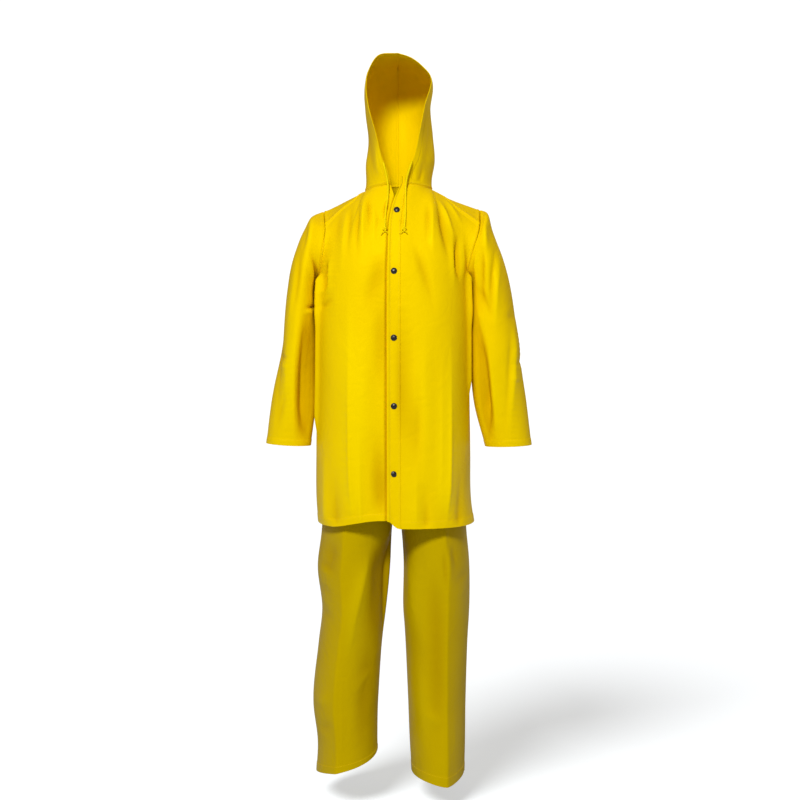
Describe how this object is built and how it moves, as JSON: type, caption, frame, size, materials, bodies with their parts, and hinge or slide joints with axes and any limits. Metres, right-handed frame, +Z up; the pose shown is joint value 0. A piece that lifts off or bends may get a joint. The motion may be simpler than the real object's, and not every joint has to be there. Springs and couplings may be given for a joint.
{
  "type": "rain suit",
  "caption": "Hooded yellow coated-cloth rain jacket with snapped fly front and drawcord, worn hollow over matching plain straight trousers.",
  "frame": {"origin": "between the shoulders at the base of the neck, inside the neck seam, where the wearer holds the suit up", "axes": "+Z up, -Y the wearer's front, +X the wearer's left"},
  "size_m": [0.659, 0.3426, 1.7739],
  "materials": {
    "jacket_cloth": "smooth semi-gloss coated cloth, yellow",
    "trouser_cloth": "smooth semi-gloss coated cloth, yellow",
    "snap_black": "black enamelled snap caps",
    "drawcord": "braided yellow cord"
  },
  "bodies": {
    "root": {"jacket_back": "jacket_cloth", "jacket_front_left": "jacket_cloth", "jacket_front_right": "jacket_cloth", "front_fly": "jacket_cloth", "sleeve_left": "jacket_cloth", "sleeve_right": "jacket_cloth", "hood_left": "jacket_cloth", "hood_right": "jacket_cloth", "trouser_front_left": "trouser_cloth", "trouser_front_right": "trouser_cloth", "trouser_back_left": "trouser_cloth", "trouser_back_right": "trouser_cloth", "waistband": "trouser_cloth", "snap_1": "snap_black", "snap_2": "snap_black", "snap_3": "snap_black", "snap_4": "snap_black", "snap_5": "snap_black", "drawcord_left": "drawcord", "drawcord_right": "drawcord", "knot_left": "drawcord", "knot_right": "drawcord"}
  },
  "joints": []
}
